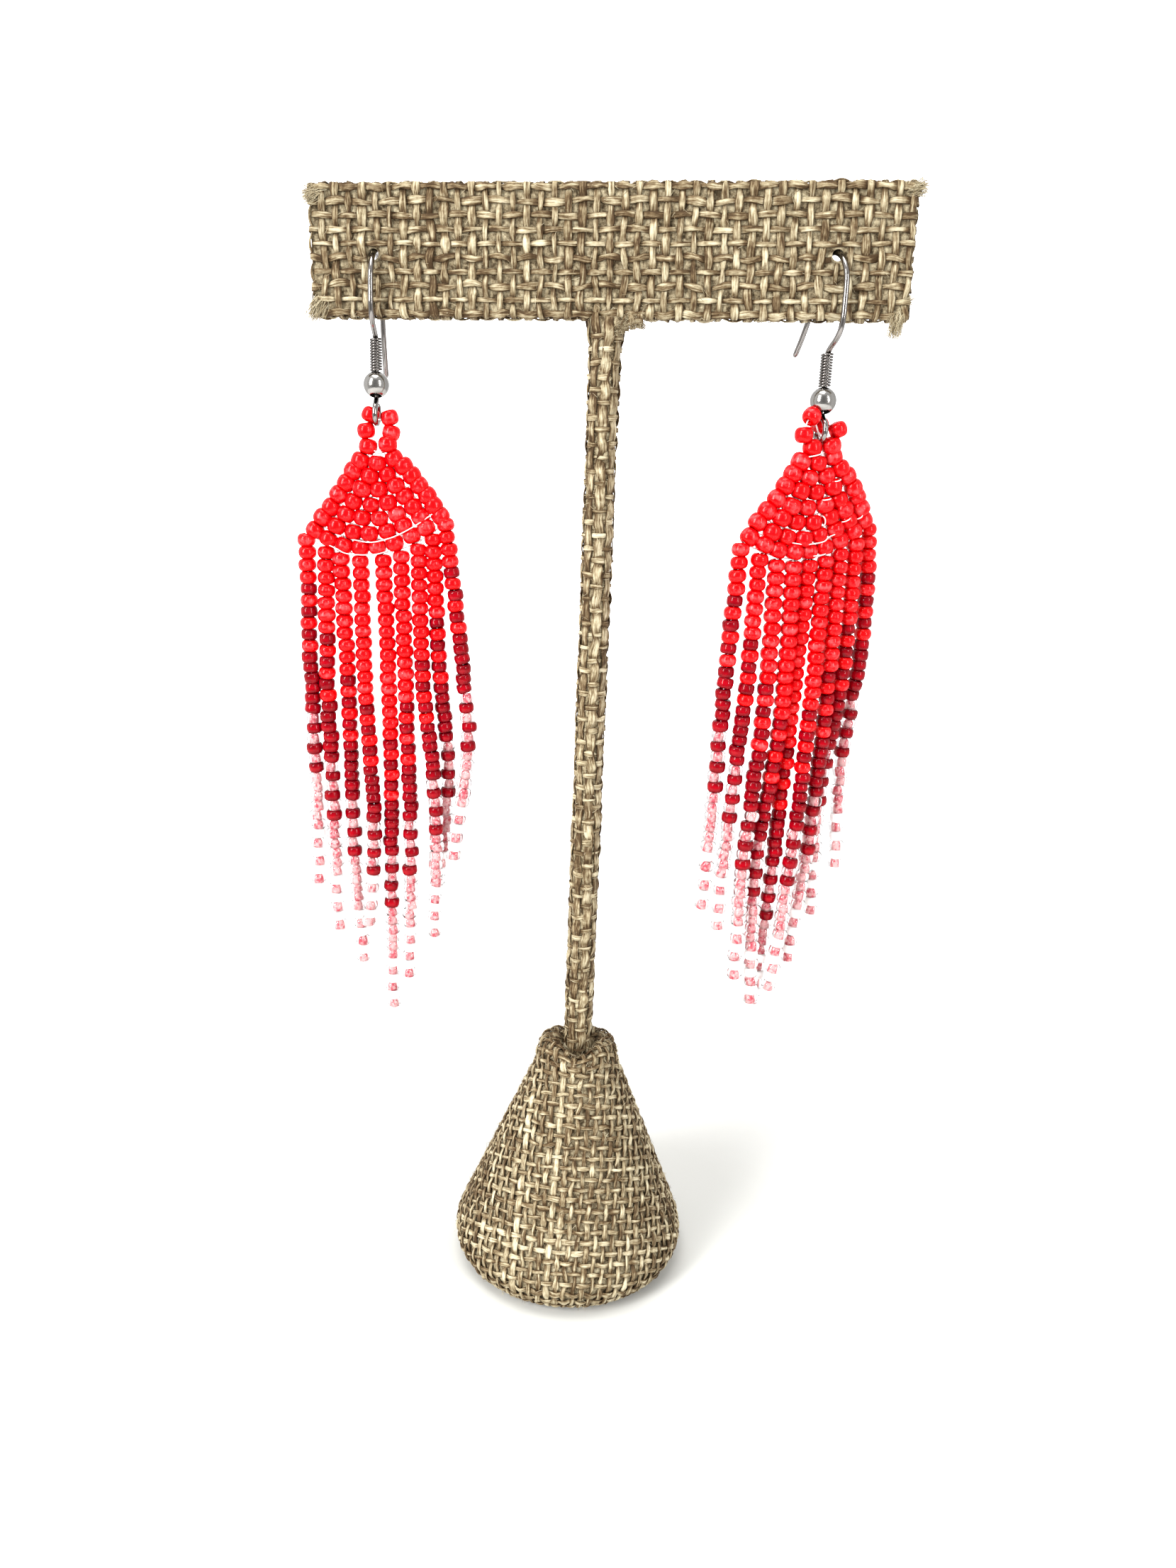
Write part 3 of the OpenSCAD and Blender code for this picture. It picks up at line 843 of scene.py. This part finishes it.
def stem_weave():
    """Burlap round the stem, from inside the base's lip up to the bar."""
    rng = np.random.default_rng(23)
    around = math.tau * STEM_R
    count, pitch, shift = 8, 1.62, 0.35
    low, high = 33.0, 135.5
    shape = Shape()
    for i in range(count):
        z = np.arange(low, high + rng.uniform(0.3, 0.9), 0.45)
        u = (i + shift) * around / count + wander(rng, z, 0.1)
        light = rng.choice((0.0, 0.12, -0.1), p=(0.5, 0.25, 0.25))
        lay_yarn(shape, stem_surface, columns(u, z), (z - low) / pitch + i, rng,
                 width=rng.uniform(1.0, 1.4), thick=0.26, lift=0.1,
                 tone=0.6 + light + rng.normal() * 0.06, seed=2000 + i * 53.0)
    u = steps_round(26, around)
    for j in range(int((high - low) / pitch)):
        z = low + j * pitch + wander(rng, u, 0.08) * np.sin(math.pi * u / around) + rng.normal() * 0.12
        lay_yarn(shape, stem_surface, columns(u, z), u * count / around - shift + j + 1, rng,
                 width=rng.uniform(0.5, 0.9), thick=0.26, lift=0.12,
                 tone=0.68 + rng.normal() * 0.12, seed=3000 + j * 29.0, closed=True)
    return shape.build("stem_weave", [YARN])


def stem_core():
    """What the burlap of the stem is glued to."""
    sides = 24
    z = np.linspace(STEM_LOW, STEM_TOP + 0.4, 80)
    u = np.arange(sides) * math.tau * STEM_R / sides
    p, n = stem_surface(columns(np.tile(u, len(z)), np.repeat(z, sides)))
    shape = Shape()
    shape.add(p - n * 0.06, rings(len(z), sides))
    return shape.build("stem_core", [BACKING_AND_SHADE])


CONE_SIN = math.sin(math.atan(CONE_TAN))
# The yarns' middle lies this deep in the base, and the lip starts above this height
YARN_DEPTH, LIP_Z = 0.25, 32.4


def base_section():
    """How far down from the cone's tip each point of the base's section lies, and its radius and height.
    The section goes from the floor over the lip to the stem."""
    r = BASE_EDGE - YARN_DEPTH
    low = [(BASE_R - BASE_EDGE + r * math.cos(a), BASE_EDGE + r * math.sin(a))
           for a in np.linspace(-math.pi / 2, math.atan(CONE_TAN), 24)]
    tangent_r, tangent_z = low[-1]
    tip_z = tangent_z + tangent_r / CONE_TAN
    cone = [((tip_z - z) * CONE_TAN, z) for z in np.linspace(tangent_z + 0.5, SHOULDER_Z, 50)]
    lip = smooth([(6.0, 32.5), (5.75, 33.6), (5.45, 34.8), (4.8, 35.6), (3.9, 35.75), (3.0, 35.2),
                  (2.45, 34.2), (2.2, 33.0)], 30)
    pts = np.concatenate([low, cone, lip])
    s = tangent_r / CONE_SIN + lengths(pts)[len(low) - 1] - lengths(pts)
    order = np.argsort(s)
    return s[order], pts[order]


BASE_S, BASE_PTS = base_section()


def base_point(s, a):
    """Point of the base at distance s down the slope and angle a from the front."""
    r, z = np.interp(s, BASE_S, BASE_PTS[:, 0]), np.interp(s, BASE_S, BASE_PTS[:, 1])
    # The lip is lower in front and a little at the back, and uneven round the stem
    front = np.exp(-((a - 0.1) / 0.5) ** 2)
    behind = np.exp(-((np.abs(a) - 2.9) / 0.7) ** 2)
    puff = np.clip((z - LIP_Z) / 2, 0, 1)
    z = z - puff * (1.15 * front + 0.35 * behind) * np.clip((z - LIP_Z) / 3, 0, 1)
    r = r + 0.25 * puff * np.sin(3 * a + 1.0) * np.clip((r - 2.2) / 2, 0, 1)
    # The foot is a little slimmer than the plain cone, and stands a little to the left
    low = np.clip((30 - z) / 26, 0, 1)
    r = r - 0.25 * low * np.clip(r / 4, 0, 1)
    return np.stack([r * np.sin(a) - 0.4 * low, -r * np.cos(a), z], axis=-1)


def base_outward(s, a):
    around = base_point(s, a + 0.01) - base_point(s, a - 0.01)
    down = base_point(s + 0.05, a) - base_point(s - 0.05, a)
    return unit(np.cross(down, around))


def cloth_polar(flat):
    """Distance from the cone's tip and angle from the front, in the cloth laid flat."""
    return np.hypot(flat[:, 0], flat[:, 1]), np.arctan2(flat[:, 0], -flat[:, 1])


def base_surface(flat):
    """Cloth wrapped round the cone. x and y lie in it, with its straight grain in front."""
    s, phi = cloth_polar(flat)
    a = phi / CONE_SIN
    return base_point(s, a), base_outward(s, a)


def base_weave():
    """Burlap on the base, a piece for each way of the weave. A wide light yarn marks the seam."""
    rng = np.random.default_rng(37)
    widest = math.pi * CONE_SIN
    s_low, s_high = BASE_S[0] + 0.1, BASE_S[-1] - 0.3
    pitches, seam_yarn = (1.32, 1.47), -5
    pieces = []
    for name, across, run_end, count_end in (("base_warp", 0, -2, 61), ("base_weft", 1, s_high, 0)):
        shape = Shape()
        run = np.arange(-s_high, run_end, 0.48)
        for i in range(-60, count_end):
            flat = columns(run, run)
            flat[:, across] = i * pitches[across]
            s, phi = cloth_polar(flat)
            inside = (s > s_low) & (s < s_high + rng.uniform(-0.5, 0.2)) & (np.abs(phi) < widest)
            for start, end in spans(inside, 5):
                part, where = flat[start:end], run[start:end]
                part[:, across] += wander(rng, where, 0.1)
                seam = across == 0 and i == seam_yarn
                light = 0.12 if seam else rng.choice((0.0, 0.07, -0.08), p=(0.5, 0.25, 0.25))
                # Painted shade: darker in the lip, where the cloth is tucked in round the stem
                lip_shade = np.clip((6.5 + s_low - s[start:end]) / 4, 0, 1)
                tone = 0.64 + light + rng.normal() * 0.08 - 0.3 * lip_shade
                lay_yarn(shape, base_surface, part, where / pitches[1 - across] + i + across, rng,
                         width=1.05 if seam else rng.uniform(0.5, 0.9), thick=0.3, lift=0.13,
                         tone=tone, seed=5000 + across * 4000 + i * 41.0)
        pieces.append(shape.build(name, [YARN]))
    return pieces


def base_core():
    """What the burlap of the base is glued to."""
    sides = 72
    slope = np.linspace(BASE_S[0], BASE_S[-1], 90)
    s = np.repeat(slope, sides)
    a = np.tile(steps_round(sides), len(slope))
    p = base_point(s, (a + math.pi) % math.tau - math.pi) - base_outward(s, a) * 0.3
    p[:, 2] = np.maximum(p[:, 2], 0.12)
    shape = Shape()
    shape.add(p, [f[:, ::-1] for f in rings(len(slope), sides)])
    return shape.build("base_core", [BACKING_AND_SHADE])


def hair(shape, start, out, rng, length, radius, curl, tone):
    """One loose fibre that starts on a surface and curls away."""
    count, sides = 4, 3
    curve = unit(rng.normal(size=3)) * curl
    p = [start]
    d = unit(out)
    for _ in range(count - 1):
        p.append(p[-1] + d * length / (count - 1))
        d = unit(d + curve / count)
    taper = radius * np.linspace(1, 0.35, count)
    tube(shape, np.array(p), taper, sides, unit(rng.normal(size=3)), tone=tone,
         place=np.full((count * sides, 3), rng.uniform(0, 90)))


# Frayed tufts: place on the bar, the way they point, reach, number of fibres and spread
TUFTS = (
    ((-36.2, -1.5, 6.5), (-0.7, -0.4, -0.35), 1.7, 260, 0.7),
    ((-36.2, -1.4, -6.2), (-0.35, -0.25, -0.8), 2.3, 330, 0.8),
    ((35.9, -1.3, 6.6), (0.6, -0.3, 0.15), 1.5, 330, 0.75),
    ((35.1, -1.5, -7.3), (-0.12, -0.1, -1), 2.9, 330, 0.5),
    ((35.8, -1.0, -5.6), (0.9, 0, 0.25), 1.5, 70, 0.4),
    ((35.6, 1.2, -6.9), (0.6, 0.3, -0.7), 1.3, 70, 0.5),
    ((-36.4, 1.2, 6.8), (-0.7, 0.3, 0.2), 1.2, 70, 0.5))


def fuzz():
    """Loose fibres on the burlap, more of them at its edges, and tufts at the bar's corners."""
    rng = np.random.default_rng(53)
    shape = Shape()

    def scatter(surface, flats, length, outward):
        for p, n in zip(*surface(flats)):
            d = unit(np.cross(n, rng.normal(size=3)))
            hair(shape, p + n * 0.12, d + n * rng.uniform(*outward), rng, rng.uniform(*length),
                 rng.uniform(0.022, 0.04), 0.9, 0.68 + rng.normal() * 0.12)

    def on_cone(low, high, count):
        s = rng.uniform(low, high, count)
        phi = rng.uniform(-1, 1, count) * math.pi * CONE_SIN
        return columns(s * np.sin(phi), -s * np.cos(phi))

    edges = [v for v in np.linspace(0, BAR_AROUND, 400) if abs(np.interp(v, BAR_S, BAR_PTS[:, 1])) > 7.2]
    scatter(bar_surface, columns(rng.uniform(-36.9, 36.3, 1000), rng.choice(edges, 1000)),
            (0.35, 0.9), (0.1, 0.8))
    scatter(bar_surface, columns(rng.uniform(-37.5, 37, 500), rng.uniform(0, BAR_AROUND, 500)),
            (0.6, 1.6), (0.05, 0.3))
    scatter(stem_surface, columns(rng.uniform(0, 11, 1100), rng.uniform(36, 134.5, 1100)),
            (0.35, 1.0), (0.15, 0.8))
    scatter(base_surface, on_cone(BASE_S[0] + 1, BASE_S[-1] - 2, 1900), (0.4, 1.1), (0.1, 0.8))
    scatter(base_surface, on_cone(BASE_S[0] + 1, 17, 350), (0.4, 0.9), (0.3, 1.2))
    for at, way, reach, number, spread in TUFTS:
        for _ in range(number):
            start = at + rng.normal(size=3) * (spread * 0.6, 0.22, spread * 0.55)
            d = unit(way) + rng.normal(size=3) * 0.2
            hair(shape, on_bar(start), tilted(d), rng, reach * rng.uniform(0.4, 1.05),
                 rng.uniform(0.025, 0.045), 0.5, 0.8 + rng.normal() * 0.1)
    return shape.build("loose_fibres", [YARN])


def flap_surface(flat):
    """A slightly wavy sheet in front of the stem's top, as x and z."""
    x, z = flat[:, 0], flat[:, 1]
    y = -1.45 + 0.25 * np.sin(x * 0.9) + 0.05 * (135 - z)
    return columns(x, y, z), columns(0 * x, -np.ones_like(x), 0 * x)


def flap():
    """The corner of cloth that hangs under the bar beside the stem."""
    rng = np.random.default_rng(67)
    shape = Shape()
    for i, foot in enumerate((133.2, 134.0, 134.15, 134.3)):
        z = np.arange(136.0, foot, -0.35)
        x = 1.4 + i * 0.95 + wander(rng, z, 0.06)
        lay_yarn(shape, flap_surface, columns(x, z), z / 1.3 + i, rng,
                 width=0.9, thick=0.24, lift=0.08, tone=0.58, seed=7000 + i * 9)
    for j in range(2):
        x = np.arange(1.2, 4.8 - j * 1.6, 0.35)
        z = 134.95 - j * 0.8 + 0.05 * x + wander(rng, x, 0.06)
        lay_yarn(shape, flap_surface, columns(x, z), x / 0.95 + j, rng,
                 width=0.7, thick=0.24, lift=0.08, tone=0.6, seed=7100 + j * 9)
    for _ in range(700):
        x = rng.uniform(1.2, 4.9)
        start = (x, -1.55 + rng.normal() * 0.15, 134.35 - 0.55 * max(0, 3.0 - x) + rng.exponential(0.6))
        out = (rng.normal() * 1.2, -0.3, rng.normal() - 0.5)
        hair(shape, start, out, rng, rng.uniform(0.2, 0.7), 0.03, 0.9, 0.62)
    return shape.build("stem_flap", [YARN])


# The pieces
def settle(piece, slot, *nodes):
    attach(piece, "root")
    if nodes:
        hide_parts(*nodes)


for side, name in enumerate(SIDES):
    rng = np.random.default_rng(100 + side)
    for number in range(len(STRINGS[side])):
        settle(string_piece(side, number, rng), "string_beads", f"{name}_string_{number + 1}")
    settle(fan_piece(side, rng), "coral_beads", f"{name}_bead_fan")
    settle(loop_piece(side, rng), "coral_beads", f"{name}_bead_loop")
    settle(ear_wire_piece(side), "ear_wire_steel", f"{name}_ear_wire")
    settle(coil_piece(side), "ear_wire_steel", f"{name}_coil")
    settle(ball_piece(side), "ball_steel", f"{name}_ball")

for piece in bar_weave():
    settle(piece, "burlap")
settle(bar_core(), "burlap", "stand_crossbar")
settle(stem_core(), "burlap", "stand_stem")
settle(stem_weave(), "burlap")
settle(base_core(), "burlap", "stand_base")
for piece in (*base_weave(), fuzz(), flap()):
    settle(piece, "burlap")


# Floor, light and camera. The places here are in metres.
# The middle of the earrings, which the lamps point at
LIT = (0, 0, 0.09)
CAMERA_AT = (0.0131, -0.1547, 0.1209)
# Turn to the right, tilt down and roll, in degrees, and lens in mm
YAW, PITCH, ROLL, LENS = -4.83, 16.43, 2.28, 26.72
# Brightness of the room by angle: 0 is behind the camera, 180 the wall in front of it
ROOM = ((-180, 1.3), (-152, 1.2), (-138, 1.0), (-85, 1.4), (-60, 0.8), (-20, 0.4), (0, 0.35),
        (20, 0.45), (60, 0.8), (90, 1.1), (138, 0.8), (152, 1.2), (180, 1.3))


def floor():
    """A disc that is greyer near the stand and whiter further out: painted light that evens out the
    lamps' fall-off, so the shadow shows and the rest is white.
    """
    made, graph = material("floor", 0.9, Specular_IOR_Level=0.0)
    far = graph.new("VectorMath", graph.new("TexCoord").outputs["Object"], operation="LENGTH")
    grain = graph.spread(graph.noise(300, 2.0), 0.02)
    value = graph.math("ADD", graph.math("MULTIPLY", far.outputs["Value"], 5.0), grain)
    # Painted light: the floor's colour rises away from the stand
    stops = ((0.16, (0.57, 0.57, 0.545)), (0.3, (0.66, 0.66, 0.64)), (0.5, (0.9, 0.9, 0.89)))
    graph.paint(value, stops)
    radius, sides = 240, 40
    a = steps_round(sides)
    shape = Shape()
    shape.add(columns(radius * np.cos(a), radius * np.sin(a), 0 * a - 0.02), [np.arange(sides)[None]])
    shape.build("floor", [made], flat=True)


def world():
    """A white wall behind and a greyer room, darkest at the camera. Seen straight it is white."""
    room = bpy.data.worlds.new("room")
    bpy.context.scene.world = room
    room.use_nodes = True
    graph = Graph(room.node_tree)
    x, y, z = graph.new("SeparateXYZ", graph.new("TexCoord").outputs["Generated"]).outputs
    turn = graph.math("ARCTAN2", x, graph.math("MULTIPLY", y, -1.0))
    place = graph.math("MULTIPLY_ADD", turn, 0.5 / math.pi, 0.5)
    level = graph.ramp(place, [(0.5 + angle / 360, (v, v, v)) for angle, v in ROOM])
    ceiling = graph.new("MapRange", z, 0.5, 0.8, interpolation_type="SMOOTHSTEP").outputs[0]
    level = graph.math("MAXIMUM", level, ceiling)
    seen = graph.math("MULTIPLY", graph.new("LightPath").outputs["Is Camera Ray"], 3.0)
    brightness = graph.math("MAXIMUM", level, seen)
    graph.fill(graph.nodes["Background"], Strength=brightness, Color=(1, 1, 1, 1))


def lamp(name, at, size, power):
    light = bpy.data.lights.new(name, "AREA")
    light.shape = "RECTANGLE"
    light.size, light.size_y = size
    light.energy = power
    thing = put(name, light)
    thing.location = at
    thing.rotation_mode = "QUATERNION"
    thing.rotation_quaternion = Vector(np.subtract(LIT, at)).to_track_quat("-Z", "Y")


def camera():
    """Fitted to the photograph, with the sensor's long side 36 mm."""
    yaw, pitch, roll = (math.radians(v) for v in (YAW, PITCH, ROLL))
    level = math.cos(pitch)
    forward = np.array([math.sin(yaw) * level, math.cos(yaw) * level, -math.sin(pitch)])
    right = np.array([math.cos(yaw), -math.sin(yaw), 0])
    up = np.cross(right, forward)
    rolled_right = math.cos(roll) * right + math.sin(roll) * up
    rolled_up = -math.sin(roll) * right + math.cos(roll) * up
    data = bpy.data.cameras.new("camera")
    data.lens, data.sensor_width, data.sensor_fit = LENS, 36, "AUTO"
    data.clip_start, data.clip_end = 0.005, 100
    thing = put("camera", data)
    rows = columns(rolled_right, rolled_up, -forward, CAMERA_AT)
    thing.matrix_world = Matrix([*rows.tolist(), (0, 0, 0, 1)])
    bpy.context.scene.camera = thing


floor()
world()
lamp("left_panel", (-0.42, -0.5, 0.36), (0.16, 0.55), 7.6)
lamp("right_panel", (0.46, -0.46, 0.28), (0.08, 0.5), 2.8)
lamp("top", (-0.1, -0.15, 0.9), (0.5, 0.4), 4.8)
camera()
bpy.context.scene.view_settings.view_transform = "Standard"
